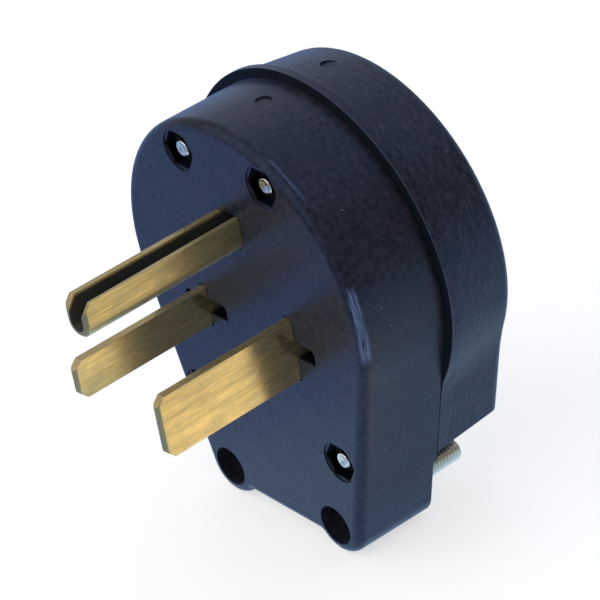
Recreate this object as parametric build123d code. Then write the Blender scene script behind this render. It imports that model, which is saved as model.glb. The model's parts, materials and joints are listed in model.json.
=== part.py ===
from build123d import *
import os
from math import asin, atan2, cos, hypot, radians, sin, tan

# A straight-blade angle plug, standing on its tail. Millimetres.
# X runs to the right as one faces the mating face, Y runs from the face (Y = 0) to the back, Z runs up.
# The tail's two lobes stand on Z = 0.

# Outline of the front housing at the mating face
dome_radius = 30.7
dome_height = 50.3
lobe_radius = 5.9
clamp_screw_x = 14.45
tail_edge_rise = 2.3
lobe_blend = 1.0
face_edge_radius = 1.9

# The same outline at the parting line, where the moulding's draft has opened it
front_depth = 17.6
parting_flare = 0.6
parting_drop = 0.8
tail_step = 0.8
tail_step_height = 13.4

# Rear cover
back_depth = 33.0
cover_overhang = 1.35
cover_band_draft = 1.15
cover_back_drop = 0.95
cover_bottom_height = 15.5
cover_bottom_draft = 0.8
cover_side_draft = 0.4
cover_blend = 60.0
cover_trim = 6.0
back_edge_radius = 2.0
lip_height = 0.5
lip_root = 1.5
lip_drop = 0.0
lip_width = 2.9
lip_slope_length = 1.4
lip_slope_height = 0.55
lip_edge_radius = 0.2

# Walls and cavities
face_wall = 7.0
side_wall = 3.0
back_wall = 3.0
boss_radius = 4.2
cavity_floor_height = 18.5
cavity_ceiling_height = 76.0
moulding_mark_radius = 1.5
moulding_mark_depth = 0.35
front_mark_depth = 11.5
cover_mark_depth = 26.0

# Blades and ground pin
blade_thickness = 1.65
blade_length = 29.2
wide_blade_height = 11.9
narrow_blade_height = 7.55
blade_spacing = 23.3
blade_line_height = 42.0
blade_tip_chamfer = 1.6
blade_tip_bevel = 0.45
blade_slot_clearance = 0.2
blade_slot_end_clearance = 0.4
bend_radius = 0.15
ground_rise = 19.15
ground_width = 5.6
ground_height = 6.9
ground_wall = 1.1
ground_length = 33.0
ground_tip_chamfer_length = 1.9
ground_tip_chamfer_height = 1.5
ground_tip_bevel = 0.5

# Cross-shaped pockets beside the blades
pocket_reach = 4.8
pocket_height = 3.15
pocket_depth = 3.5
pocket_corner_radius = 1.15

# Terminals
foot_length = 14.0
ground_foot_width = 10.0
ground_foot_length = 13.0
terminal_screw_radius = 2.4
terminal_head_radius = 4.2
terminal_head_height = 2.6
terminal_screw_grip = 3.0
plate_length = 9.5
plate_thickness = 1.6
plate_corner_radius = 1.0

# Cover screws and their nuts
upper_screw_rim = 5.34
upper_screw_angle = 25.45
lower_screw_rim = 5.59
lower_screw_height = 21.3
cover_screw_radius = 1.75
cover_screw_sink = 0.8
cover_head_radius = 3.0
cover_head_height = 2.2
cover_head_sink = 0.5
nut_across_flats = 6.35
nut_thickness = 2.4
nut_pocket_depth = 4.6
pocket_ring_radius = 3.9
pocket_ring_depth = 0.25

# Cord clamp
clamp_screw_radius = 2.08
clamp_screw_end = 28.7
clamp_head_radius = 3.45
clamp_head_height = 2.8
clamp_bore_radius = 3.85
clamp_bore_depth = 7.5
cord_radius = 9.5
strap_thickness = 1.6
strap_width = 9.0
strap_ear_end = 18.9
strap_blend = 0.6
strap_corner_radius = 2.5

# Fits
thread_clearance = 0.05
hole_clearance = 0.25
pocket_clearance = 0.1
drive_slot_width = 0.9
drive_slot_depth = 1.0
head_edge_radius = 0.7
shank_end_chamfer = 0.4

# Two points nearer than this are one
same_place = 0.0001


def side_slope(radius, height, lobe_x):
    """Lean of the straight side that touches the dome and a lobe, in radians."""
    rise = height - lobe_radius
    return asin((radius - lobe_radius) / hypot(lobe_x, rise)) - atan2(lobe_x, rise)


def side_touch(radius, height, slope):
    """Half width and height of the place where the straight side leaves the dome."""
    return radius * cos(slope), height - radius * sin(slope)


# Heights and places that follow from the sizes above
clamp_screw_height = lobe_radius
clamp_seats = [("left", -clamp_screw_x), ("right", clamp_screw_x)]
tail_depth = front_depth - tail_step
parting_radius = dome_radius + parting_flare
parting_height = dome_height - parting_drop
parting_lobe_x = clamp_screw_x + parting_flare
cover_radius = parting_radius + cover_overhang
cover_back_radius = cover_radius - cover_band_draft
cover_back_height = parting_height - cover_back_drop
face_slope = side_slope(dome_radius, dome_height, clamp_screw_x)
face_touch = side_touch(dome_radius, dome_height, face_slope)
upper_screw_reach = dome_radius - upper_screw_rim
upper_screw_x = upper_screw_reach * sin(radians(upper_screw_angle))
upper_screw_height = dome_height + upper_screw_reach * cos(radians(upper_screw_angle))
lower_half_width = face_touch[0] - (face_touch[1] - lower_screw_height) * tan(face_slope)
lower_screw_x = lower_half_width - lower_screw_rim
cover_screw_places = {
    "upper_left": (-upper_screw_x, upper_screw_height),
    "upper_right": (upper_screw_x, upper_screw_height),
    "lower_left": (-lower_screw_x, lower_screw_height),
    "lower_right": (lower_screw_x, lower_screw_height),
}
foot_depth = face_wall + blade_thickness
plate_depth = foot_depth + plate_thickness
ground_foot_depth = face_wall + ground_wall
ground_plate_depth = ground_foot_depth + plate_thickness
ground_bottom_height = blade_line_height + ground_rise - ground_height / 2
ground_foot_bottom = ground_bottom_height - ground_foot_length
terminal_reach = blade_spacing / 2 + blade_thickness / 2 + (foot_length - blade_thickness) / 2
ground_terminal_height = ground_bottom_height - ground_foot_length / 2
head_seat_depth = back_depth - cover_head_height - cover_head_sink
blades = [(1, "wide_blade", wide_blade_height), (-1, "narrow_blade", narrow_blade_height)]


def at_depth(depth):
    """Sketch plane across the plug, this far behind the mating face."""
    return Plane.XZ.offset(-depth)


def prism(sketch, start, end):
    """Solid of a sketch across the plug, between two depths."""
    return extrude(at_depth(start) * sketch, amount=end - start, dir=(0, 1, 0))


def rod(place, radius, start, end):
    """Round bar along the plug's depth."""
    return prism(Pos(*place) * Circle(radius), start, end)


def edges_at_depth(solid, depth):
    """Edges that lie wholly in the plane at one depth."""
    return solid.edges().filter_by(
        lambda edge: all(abs((edge @ share).Y - depth) < same_place for share in (0, 0.5, 1))
    )


def front_outline(radius, height, lobe_x):
    """Dome, tapering sides, two lobes and the straight edge between them."""
    slope = side_slope(radius, height, lobe_x)
    sides = [
        side_touch(radius, height, slope),
        (lobe_x + lobe_radius * cos(slope), lobe_radius - lobe_radius * sin(slope)),
        (lobe_x, tail_edge_rise),
    ]
    mirrored = [(-x, z) for x, z in sides]
    outline = Polygon(*mirrored, *reversed(sides), align=None)
    outline += Pos(0, height) * Circle(radius)
    outline += Pos(-lobe_x, lobe_radius) * Circle(lobe_radius)
    outline += Pos(lobe_x, lobe_radius) * Circle(lobe_radius)
    notch_corners = outline.vertices().filter_by(
        lambda v: abs(v.Y - tail_edge_rise) < same_place and abs(v.X) < lobe_x
    )
    return fillet(notch_corners, lobe_blend)


def cover_outline(radius, height, inset, bottom):
    """Band of the cover with its short tail, whose sides follow the parting line's."""
    slope = side_slope(parting_radius, parting_height, parting_lobe_x)
    touch_x, touch_height = side_touch(parting_radius, parting_height, slope)
    centre = Vector(0, height)
    along = Vector(sin(slope), cos(slope))
    outward = Vector(cos(slope), -sin(slope))
    side = outward.dot(Vector(touch_x - inset, touch_height) - centre)
    fall = ((radius + cover_blend) ** 2 - (side + cover_blend) ** 2) ** 0.5
    hollow = centre + outward * (side + cover_blend) - along * fall
    to_band = (centre - hollow).normalized()
    band_end = hollow + to_band * cover_blend
    neck = hollow + (to_band - outward).normalized() * cover_blend
    side_start = hollow - outward * cover_blend
    corner = side_start - along * ((side_start.Y - bottom) / cos(slope))
    half = Line(corner, side_start) + ThreePointArc(side_start, neck, band_end)
    band = ThreePointArc(band_end, centre + Vector(0, radius), Vector(-band_end.X, band_end.Y))
    edge = Line(corner, Vector(-corner.X, corner.Y))
    return make_face(half + band + mirror(half, Plane.YZ) + edge)


def wire_cavity(outline):
    """The outline drawn in by the side wall, between the floor over the cord's channel and a flat ceiling."""
    inner = offset(outline, -side_wall, kind=Kind.INTERSECTION)
    tall = cavity_ceiling_height - cavity_floor_height
    between = Rectangle(4 * dome_radius, tall, align=(Align.CENTER, Align.MIN))
    return inner & Pos(0, cavity_floor_height) * between


def boss_columns(start, end):
    """Round columns that the cover screws pass through."""
    columns = [rod(place, boss_radius, start, end) for place in cover_screw_places.values()]
    return Part() + columns


def cord_passage(radius):
    """Round way for the cord, up the back of the tail and into the wire cavity."""
    length = cavity_floor_height + boss_radius
    return Pos(0, tail_depth, 0) * Cylinder(radius, length, align=(Align.CENTER, Align.CENTER, Align.MIN))


def hexagon(across_flats):
    """Hexagon with two corners on the level."""
    return RegularPolygon(across_flats / 2, 6, major_radius=False)


def blade_slot(x, height):
    """Slot for one blade, with the cross-shaped pocket at its middle, rounded at its upper corners."""
    width = blade_thickness + 2 * blade_slot_clearance
    place = Pos(x, blade_line_height)
    slot = place * Rectangle(width, height + 2 * blade_slot_end_clearance)
    arms = place * Rectangle(blade_thickness + 2 * pocket_reach, pocket_height)
    upper_corners = arms.vertices().group_by(Axis.Y)[-1]
    arms = fillet(upper_corners, pocket_corner_radius)
    return prism(slot, 0, face_wall) + prism(arms, 0, pocket_depth)


def ground_section(clearance=0.0):
    """U section, open upwards, with a round bottom."""
    width = ground_width + 2 * clearance
    top = ground_height + clearance
    outer_radius = width / 2
    round_height = ground_width / 2
    section = Pos(0, round_height) * Circle(outer_radius)
    section += Pos(0, round_height) * Rectangle(width, top - round_height, align=(Align.CENTER, Align.MIN))
    return Pos(0, ground_bottom_height) * section


def moulding_mark(depth, height):
    """Cutter for a shallow round mark in the top, as an ejector pin leaves; it reaches past the surface."""
    upwards = (Align.CENTER, Align.CENTER, Align.MIN)
    cutter = Cylinder(moulding_mark_radius, moulding_mark_radius, align=upwards)
    return Pos(0, depth, height - moulding_mark_depth) * cutter


def front_housing():
    """Moulded front half: face, dome, tail, pockets and the cavity behind the face wall."""
    face = front_outline(dome_radius, dome_height, clamp_screw_x)
    parting = front_outline(parting_radius, parting_height, parting_lobe_x)
    body = loft([at_depth(0) * face, at_depth(front_depth) * parting])
    body = fillet(edges_at_depth(body, 0), face_edge_radius)
    step = Rectangle(4 * dome_radius, tail_step_height, align=(Align.CENTER, Align.MIN))
    body -= prism(step, tail_depth, front_depth)
    cavity = prism(wire_cavity(face), face_wall, front_depth)
    body -= cavity - boss_columns(face_wall, front_depth)
    body -= cord_passage(cord_radius)
    screw_tip_radius = terminal_screw_radius + hole_clearance
    screw_tip_depth = face_wall - terminal_screw_grip
    for side, name, height in blades:
        body -= blade_slot(side * blade_spacing / 2, height)
        tip_hole = (side * terminal_reach, blade_line_height)
        body -= rod(tip_hole, screw_tip_radius, screw_tip_depth, face_wall)
    body -= prism(ground_section(blade_slot_clearance), 0, face_wall)
    body -= rod((0, ground_terminal_height), screw_tip_radius, screw_tip_depth, face_wall)
    for place in cover_screw_places.values():
        body -= rod(place, pocket_ring_radius, 0, pocket_ring_depth)
        body -= prism(Pos(*place) * hexagon(nut_across_flats + 2 * pocket_clearance), 0, nut_pocket_depth)
        body -= rod(place, cover_screw_radius + hole_clearance, 0, front_depth)
    for name, x in clamp_seats:
        place = (x, clamp_screw_height)
        body -= rod(place, clamp_bore_radius, 0, clamp_bore_depth)
        body -= rod(place, clamp_screw_radius + hole_clearance, 0, front_depth)
    share = front_mark_depth / front_depth
    mark_height = dome_height + dome_radius + share * (parting_flare - parting_drop)
    return body - moulding_mark(front_mark_depth, mark_height)


def cover_lip():
    """Raised ring round the cover's band at the parting line, with a rounded front edge."""
    crest = cover_radius + lip_height
    root = crest - lip_root
    end = front_depth + lip_width
    section = Polygon(
        (root, front_depth),
        (crest, front_depth),
        (crest, end - lip_slope_length),
        (crest - lip_slope_height, end),
        (root, end),
        align=None,
    )
    front_edge = section.vertices().filter_by(
        lambda v: abs(v.X - crest) < same_place and abs(v.Y - front_depth) < same_place
    )
    section = fillet(front_edge, lip_edge_radius)
    height = parting_height - lip_drop
    axis = Axis((0, 0, height), (0, 1, 0))
    return revolve(Pos(0, 0, height) * section, axis)


def rear_cover():
    """Moulded rear half: drafted band and tail, lip, back wall, screw columns and cord opening."""
    low = cover_bottom_height - cover_trim
    front = cover_outline(cover_radius, parting_height, 0, low)
    back = cover_outline(cover_back_radius, cover_back_height, cover_side_draft, low)
    body = loft([at_depth(front_depth) * front, at_depth(back_depth) * back])
    back_edges = edges_at_depth(body, back_depth)
    back_edges = back_edges.filter_by(lambda edge: edge.center().Z > cover_bottom_height)
    body = fillet(back_edges, back_edge_radius) + cover_lip()
    back_bottom = cover_bottom_height + cover_bottom_draft
    below = Polygon(
        (front_depth, cover_bottom_height),
        (front_depth, low - cover_trim),
        (back_depth, low - cover_trim),
        (back_depth, back_bottom),
        align=None,
    )
    body -= extrude(Plane.YZ * below, amount=2 * cover_radius, both=True)
    inner_depth = back_depth - back_wall
    room = cover_outline(cover_back_radius, cover_back_height, cover_side_draft, back_bottom)
    cavity = prism(offset(room, -side_wall, kind=Kind.INTERSECTION), front_depth, inner_depth)
    body -= cavity - boss_columns(front_depth, inner_depth)
    body -= cord_passage(cord_radius + 2 * hole_clearance)
    for place in cover_screw_places.values():
        body -= rod(place, cover_screw_radius + hole_clearance, front_depth, back_depth)
        body -= rod(place, cover_head_radius + hole_clearance, head_seat_depth, back_depth)
    share = (cover_mark_depth - front_depth) / (back_depth - front_depth)
    mark_height = parting_height + cover_radius - share * (cover_back_drop + cover_band_draft)
    return body - moulding_mark(cover_mark_depth, mark_height)


def flat_blade(side, height):
    """Flat blade through the face, bent outwards into a terminal foot on the face wall's back."""
    x_in = blade_spacing / 2 - blade_thickness / 2
    x_out = x_in + blade_thickness
    x_end = x_in + foot_length
    bend = Polygon(
        (x_in, -blade_length),
        (x_out, -blade_length),
        (x_out, face_wall),
        (x_end, face_wall),
        (x_end, foot_depth),
        (x_in, foot_depth),
        align=None,
    )
    inner = bend.vertices().filter_by(
        lambda v: abs(v.X - x_out) < same_place and abs(v.Y - face_wall) < same_place
    )
    bend = fillet(inner, bend_radius)
    outer = bend.vertices().filter_by(
        lambda v: abs(v.X - x_in) < same_place and abs(v.Y - foot_depth) < same_place
    )
    bend = fillet(outer, bend_radius + blade_thickness)
    blade = extrude(Pos(0, 0, blade_line_height - height / 2) * bend, amount=height, dir=(0, 0, 1))
    tip_corners = edges_at_depth(blade, -blade_length).filter_by(Axis.X)
    blade = chamfer(tip_corners, blade_tip_chamfer)
    tip_sides = edges_at_depth(blade, -blade_length).filter_by(Axis.Z)
    blade = chamfer(tip_sides, blade_tip_bevel)
    thread_radius = terminal_screw_radius + thread_clearance
    blade -= rod((terminal_reach, blade_line_height), thread_radius, face_wall, foot_depth)
    if side < 0:
        blade = mirror(blade, Plane.YZ)
    return blade


def ground_pin():
    """U-channel pin with chamfered tips and a foot below it on the face wall's back."""
    slot_width = ground_width - 2 * ground_wall
    slot_round = ground_bottom_height + ground_width / 2
    slot = Pos(0, slot_round) * Circle(slot_width / 2)
    slot += Pos(0, slot_round) * Rectangle(slot_width, ground_height, align=(Align.CENTER, Align.MIN))
    pin = prism(ground_section(), -ground_length, ground_foot_depth)
    top_edges = edges_at_depth(pin, -ground_length).filter_by(Axis.X)
    pin = chamfer(top_edges, ground_tip_chamfer_height, ground_tip_chamfer_length)
    rim = edges_at_depth(pin, -ground_length).filter_by(Axis.X, reverse=True)
    pin = chamfer(rim, ground_tip_bevel)
    pin -= prism(slot, -ground_length, face_wall)
    foot_height = ground_foot_length + ground_width / 2
    foot = Rectangle(ground_foot_width, foot_height, align=(Align.CENTER, Align.MIN))
    foot = Pos(0, ground_foot_bottom) * foot
    pin += prism(foot, face_wall, ground_foot_depth)
    thread = rod(
        (0, ground_terminal_height),
        terminal_screw_radius + thread_clearance,
        face_wall,
        ground_foot_depth,
    )
    return pin - thread


def wire_plate(place, width, start):
    """Pressure plate between a terminal screw's head and a foot."""
    shape = Pos(*place) * RectangleRounded(plate_length, width, plate_corner_radius)
    plate = prism(shape, start, start + plate_thickness)
    return plate - rod(place, terminal_screw_radius + hole_clearance, start, start + plate_thickness)


def machine_screw(place, radius, tip, seat, head_radius, head_height):
    """Slotted screw along the plug's depth, with its head behind the seat or in front of it."""
    direction = 1 if seat > tip else -1
    top = seat + direction * head_height
    shank = rod(place, radius, min(tip, seat), max(tip, seat))
    shank = chamfer(edges_at_depth(shank, tip), shank_end_chamfer)
    head = rod(place, head_radius, min(seat, top), max(seat, top))
    head = fillet(edges_at_depth(head, top), head_edge_radius)
    slot = Pos(*place) * Rectangle(3 * head_radius, drive_slot_width)
    floor = top - direction * drive_slot_depth
    head -= prism(slot, min(floor, top), max(floor, top))
    return shank + head


def hex_nut(place):
    """Nut at the bottom of its pocket in the face."""
    start = nut_pocket_depth - nut_thickness
    nut = prism(Pos(*place) * hexagon(nut_across_flats), start, nut_pocket_depth)
    return nut - rod(place, cover_screw_radius + thread_clearance, start, nut_pocket_depth)


def cord_clamp():
    """Saddle strap: two flat ears on the tail's back and an arch over the cord."""
    outer = cord_radius + strap_thickness
    behind = Pos(0, tail_depth) * Rectangle(2 * outer, outer, align=(Align.CENTER, Align.MIN))
    arch = (Pos(0, tail_depth) * Circle(outer)) & behind
    ears = Rectangle(2 * strap_ear_end, strap_thickness, align=(Align.CENTER, Align.MIN))
    section = (arch + Pos(0, tail_depth) * ears) - Pos(0, tail_depth) * Circle(cord_radius)
    roots = section.vertices().filter_by(
        lambda v: abs(v.Y - tail_depth - strap_thickness) < same_place and abs(v.X) < clamp_screw_x
    )
    section = fillet(roots, strap_blend)
    low = clamp_screw_height - strap_width / 2
    strap = extrude(Pos(0, 0, low) * section, amount=strap_width, dir=(0, 0, 1))
    ends = strap.edges().filter_by(Axis.Y)
    ends = ends.filter_by(lambda edge: abs(abs(edge.center().X) - strap_ear_end) < same_place)
    strap = fillet(ends, strap_corner_radius)
    thread_radius = clamp_screw_radius + thread_clearance
    for name, x in clamp_seats:
        strap -= rod((x, clamp_screw_height), thread_radius, tail_depth, back_depth)
    return strap


def terminals():
    """Blades, ground pin, pressure plates and binding screws, by node name."""
    pieces = {}
    for side, name, height in blades:
        place = (side * terminal_reach, blade_line_height)
        pieces[name] = flat_blade(side, height)
        pieces[name + "_wire_plate"] = wire_plate(place, height, foot_depth)
        pieces[name + "_terminal_screw"] = machine_screw(
            place,
            terminal_screw_radius,
            face_wall - terminal_screw_grip,
            plate_depth,
            terminal_head_radius,
            terminal_head_height,
        )
    place = (0, ground_terminal_height)
    pieces["ground_pin"] = ground_pin()
    pieces["ground_wire_plate"] = wire_plate(place, plate_length, ground_foot_depth)
    pieces["ground_terminal_screw"] = machine_screw(
        place,
        terminal_screw_radius,
        face_wall - terminal_screw_grip,
        ground_plate_depth,
        terminal_head_radius,
        terminal_head_height,
    )
    return pieces


def fasteners():
    """Cover screws with their nuts, and the cord clamp's screws, by node name."""
    pieces = {}
    for name, place in cover_screw_places.items():
        pieces["cover_screw_" + name] = machine_screw(
            place,
            cover_screw_radius,
            cover_screw_sink,
            head_seat_depth,
            cover_head_radius,
            cover_head_height,
        )
        pieces["hex_nut_" + name] = hex_nut(place)
    for name, x in clamp_seats:
        pieces["clamp_screw_" + name] = machine_screw(
            (x, clamp_screw_height),
            clamp_screw_radius,
            clamp_screw_end,
            clamp_bore_depth,
            clamp_head_radius,
            clamp_head_height,
        )
    return pieces


nodes = {
    "front_housing": front_housing(),
    "rear_cover": rear_cover(),
    "cord_clamp": cord_clamp(),
}
nodes.update(terminals())
nodes.update(fasteners())

os.makedirs("parts", exist_ok=True)
for node, solid in nodes.items():
    export_step(solid, f"parts/{node}.step")
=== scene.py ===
"""Looks of the heavy-duty angle plug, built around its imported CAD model."""
import json
import math

import bpy
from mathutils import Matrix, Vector


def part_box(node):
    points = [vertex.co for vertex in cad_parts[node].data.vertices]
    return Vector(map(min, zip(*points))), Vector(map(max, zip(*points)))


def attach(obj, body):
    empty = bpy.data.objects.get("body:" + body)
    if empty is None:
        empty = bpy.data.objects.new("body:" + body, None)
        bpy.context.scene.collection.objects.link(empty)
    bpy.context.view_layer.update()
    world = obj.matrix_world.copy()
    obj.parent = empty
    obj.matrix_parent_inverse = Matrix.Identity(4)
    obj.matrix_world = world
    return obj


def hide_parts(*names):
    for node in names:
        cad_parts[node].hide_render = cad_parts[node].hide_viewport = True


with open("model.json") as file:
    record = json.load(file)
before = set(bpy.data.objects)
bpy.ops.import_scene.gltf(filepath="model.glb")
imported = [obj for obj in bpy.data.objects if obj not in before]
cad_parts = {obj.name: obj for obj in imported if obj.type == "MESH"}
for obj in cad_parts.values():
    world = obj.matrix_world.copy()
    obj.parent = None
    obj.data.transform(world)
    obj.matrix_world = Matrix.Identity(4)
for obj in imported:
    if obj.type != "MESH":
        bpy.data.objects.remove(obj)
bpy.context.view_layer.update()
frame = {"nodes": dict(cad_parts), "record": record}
nodes = frame["nodes"]
scene = bpy.context.scene
scene.view_settings.view_transform = "Standard"


# Sizes of the plug, in metres

MM = 0.001
DOME_AXIS_HEIGHT = 49.5 * MM
DOME_CENTRE_HEIGHT = 50.3 * MM
PARTING_DEPTH = 17.6 * MM
COVER_BACK = 31.0 * MM
LIP_CREST = 33.15 * MM
LIP_WIDTH = 2.9 * MM
LIP_SLOPE_START = 1.5 * MM
LIP_SLOPE_HEIGHT = 0.55 * MM
GROUND_WALL = 1.1 * MM
GROUND_WIDTH = 5.6 * MM


# Shader helpers

MIX_FACTOR = 0
MIX_FIRST_COLOUR = 6
MIX_SECOND_COLOUR = 7
MIX_COLOUR_RESULT = 2


def new_node(tree, kind, **settings):
    """A node with its settings; keys that are input names set those sockets."""
    node = tree.nodes.new(kind)
    for key, value in settings.items():
        if key in node.inputs.keys():
            node.inputs[key].default_value = value
        else:
            setattr(node, key, value)
    return node


def new_group(name, values, results):
    """An empty shader group with a vector, its values and its results, and its two end nodes."""
    tree = bpy.data.node_groups.new(name, "ShaderNodeTree")
    tree.interface.new_socket(name="Vector", in_out="INPUT", socket_type="NodeSocketVector")
    for label, value in values.items():
        socket = tree.interface.new_socket(name=label, in_out="INPUT", socket_type="NodeSocketFloat")
        socket.default_value = value
    for label in results:
        tree.interface.new_socket(name=label, in_out="OUTPUT", socket_type="NodeSocketFloat")
    return tree, tree.nodes.new("NodeGroupInput"), tree.nodes.new("NodeGroupOutput")


def math_node(tree, operation, first, second=None, clamp=False):
    """A Math node fed by sockets or numbers; gives its output."""
    node = tree.nodes.new("ShaderNodeMath")
    node.operation = operation
    node.use_clamp = clamp
    for index, value in enumerate((first, second)):
        if value is None:
            continue
        if isinstance(value, (int, float)):
            node.inputs[index].default_value = value
        else:
            tree.links.new(value, node.inputs[index])
    return node.outputs[0]


def times(tree, first, second):
    """Product of two values."""
    return math_node(tree, "MULTIPLY", first, second)


def plus(tree, first, second):
    """Sum of two values."""
    return math_node(tree, "ADD", first, second)


def minus(tree, first, second):
    """First value less the second."""
    return math_node(tree, "SUBTRACT", first, second)


def larger(tree, first, second):
    """The larger of two values."""
    return math_node(tree, "MAXIMUM", first, second)


def size_of(tree, value):
    """A value without its sign."""
    return math_node(tree, "ABSOLUTE", value)


def map_range(tree, value, low, high, to_low=0.0, to_high=1.0, smooth=False):
    """Value carried from one range to another, clamped."""
    node = tree.nodes.new("ShaderNodeMapRange")
    node.interpolation_type = "SMOOTHSTEP" if smooth else "LINEAR"
    tree.links.new(value, node.inputs["Value"])
    node.inputs["From Min"].default_value = low
    node.inputs["From Max"].default_value = high
    node.inputs["To Min"].default_value = to_low
    node.inputs["To Max"].default_value = to_high
    return node.outputs["Result"]


def falling(tree, value, low, high, smooth=False):
    """A mask that is full below a range and empty above it."""
    return map_range(tree, value, low, high, 1.0, 0.0, smooth)


def window(tree, value, low, high, blur):
    """A mask that is full between two values, with soft ends."""
    rise = map_range(tree, value, low - blur, low + blur, smooth=True)
    fall = falling(tree, value, high - blur, high + blur, smooth=True)
    return times(tree, rise, fall)


def mix_colour(tree, factor, first, second):
    """Mix of two colours; each may be a socket or a colour."""
    node = tree.nodes.new("ShaderNodeMix")
    node.data_type = "RGBA"
    indices = (MIX_FACTOR, MIX_FIRST_COLOUR, MIX_SECOND_COLOUR)
    for index, value in zip(indices, (factor, first, second)):
        if hasattr(value, "is_linked"):
            tree.links.new(value, node.inputs[index])
        elif isinstance(value, (int, float)):
            node.inputs[index].default_value = value
        else:
            node.inputs[index].default_value = (*value, 1.0)
    return node.outputs[MIX_COLOUR_RESULT]


def noise(tree, vector, rate=1.0, detail=2.0, rough=0.5):
    """Noise on a vector; gives its value output."""
    node = new_node(tree, "ShaderNodeTexNoise", Scale=rate, Detail=detail, Roughness=rough)
    tree.links.new(vector, node.inputs["Vector"])
    return node.outputs[0]


def stretched(tree, vector, rates, turn=(0.0, 0.0, 0.0)):
    """Vector stretched and turned by a Mapping node."""
    node = tree.nodes.new("ShaderNodeMapping")
    node.inputs["Scale"].default_value = rates
    node.inputs["Rotation"].default_value = turn
    tree.links.new(vector, node.inputs["Vector"])
    return node.outputs[0]


def scaled(tree, vector, factor):
    """Vector times a value."""
    node = new_node(tree, "ShaderNodeVectorMath", operation="SCALE")
    tree.links.new(vector, node.inputs[0])
    tree.links.new(factor, node.inputs["Scale"])
    return node.outputs[0]


def split(tree, vector):
    """The three values of a vector."""
    node = tree.nodes.new("ShaderNodeSeparateXYZ")
    tree.links.new(vector, node.inputs[0])
    return node.outputs[0], node.outputs[1], node.outputs[2]


def joined(tree, first, second):
    """A vector made of two values."""
    node = tree.nodes.new("ShaderNodeCombineXYZ")
    tree.links.new(first, node.inputs[0])
    tree.links.new(second, node.inputs[1])
    return node.outputs[0]


# Effects that materials share; rates are per metre, ranges are where a mask begins and is full

PEBBLE_RATE = 2400.0
PEBBLE_SHARE = 0.45
PEEL_RATE = 900.0
MOTTLE_RANGE = (0.5, 0.95)
CLOUD_RATE = 130.0
CLOUD_RANGE = (0.35, 0.65)
FLOW_RATES = (160.0, 60.0, 220.0)
FLOW_TURN = (0.4, 0.2, 0.6)
FLOW_MIDDLE = 0.5
FLOW_MARK_WIDTH = 0.012
FLOW_PATCH_RATE = 60.0
FLOW_PATCH_RANGE = (0.52, 0.62)
SPECK_RATE = 300.0
LINE_RATES = (2600.0, 45.0, 2600.0)
LINE_PART = 0.6
BAND_RATES = (500.0, 25.0, 500.0)
BAND_PART = 0.4
STREAK_RANGE = (0.35, 0.65)
TARNISH_RATE = 140.0
TARNISH_RANGE = (0.4, 0.65)
WORN_RANGE = (0.36, 0.56)


def moulded_grain():
    """Fine pebble, soft waves, clouds of tone and thin flow marks of a moulded skin."""
    values = {"Pebble": 0.5, "Wave": 0.5}
    tree, start, end = new_group("moulded grain", values, ("Height", "Cloud", "Mottle", "Flow"))
    vector = start.outputs["Vector"]
    fine = noise(tree, vector, PEBBLE_RATE, detail=3.0)
    peel = noise(tree, vector, PEEL_RATE)
    both = plus(tree, times(tree, fine, PEBBLE_SHARE), peel)
    flow = noise(tree, stretched(tree, vector, FLOW_RATES, FLOW_TURN), detail=3.0)
    pebble = times(tree, both, start.outputs["Pebble"])
    wave = times(tree, flow, start.outputs["Wave"])
    cloud = noise(tree, vector, CLOUD_RATE, detail=4.0)
    ridge = size_of(tree, minus(tree, flow, FLOW_MIDDLE))
    thin = falling(tree, ridge, 0.0, FLOW_MARK_WIDTH, smooth=True)
    patch = noise(tree, vector, FLOW_PATCH_RATE)
    sparse = map_range(tree, patch, *FLOW_PATCH_RANGE, smooth=True)
    tree.links.new(plus(tree, pebble, wave), end.inputs["Height"])
    tree.links.new(map_range(tree, cloud, *CLOUD_RANGE), end.inputs["Cloud"])
    tree.links.new(map_range(tree, both, *MOTTLE_RANGE), end.inputs["Mottle"])
    tree.links.new(times(tree, thin, sparse), end.inputs["Flow"])
    return tree


def dust_specks():
    """Scattered tiny specks."""
    tree, start, end = new_group("dust specks", {"Size": 0.05, "Share": 0.3}, ("Specks",))
    cell = new_node(tree, "ShaderNodeTexVoronoi", Scale=SPECK_RATE)
    tree.links.new(start.outputs["Vector"], cell.inputs["Vector"])
    near = math_node(tree, "LESS_THAN", cell.outputs["Distance"], start.outputs["Size"])
    pick = tree.nodes.new("ShaderNodeSeparateColor")
    tree.links.new(cell.outputs["Color"], pick.inputs[0])
    chosen = math_node(tree, "LESS_THAN", pick.outputs[0], start.outputs["Share"])
    tree.links.new(times(tree, near, chosen), end.inputs["Specks"])
    return tree


def rolled_streaks():
    """Fine lines along the depth, as rolling and plugging in leave them, with cloudy tarnish."""
    tree, start, end = new_group("rolled streaks", {"Fineness": 1.0}, ("Streaks", "Tarnish"))
    vector = scaled(tree, start.outputs["Vector"], start.outputs["Fineness"])
    lines = noise(tree, stretched(tree, vector, LINE_RATES), detail=4.0, rough=0.65)
    bands = noise(tree, stretched(tree, vector, BAND_RATES))
    streaks = plus(tree, times(tree, lines, LINE_PART), times(tree, bands, BAND_PART))
    tarnish = noise(tree, start.outputs["Vector"], TARNISH_RATE, detail=5.0, rough=0.6)
    tree.links.new(map_range(tree, streaks, *STREAK_RANGE), end.inputs["Streaks"])
    tree.links.new(map_range(tree, tarnish, *TARNISH_RANGE), end.inputs["Tarnish"])
    return tree


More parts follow.
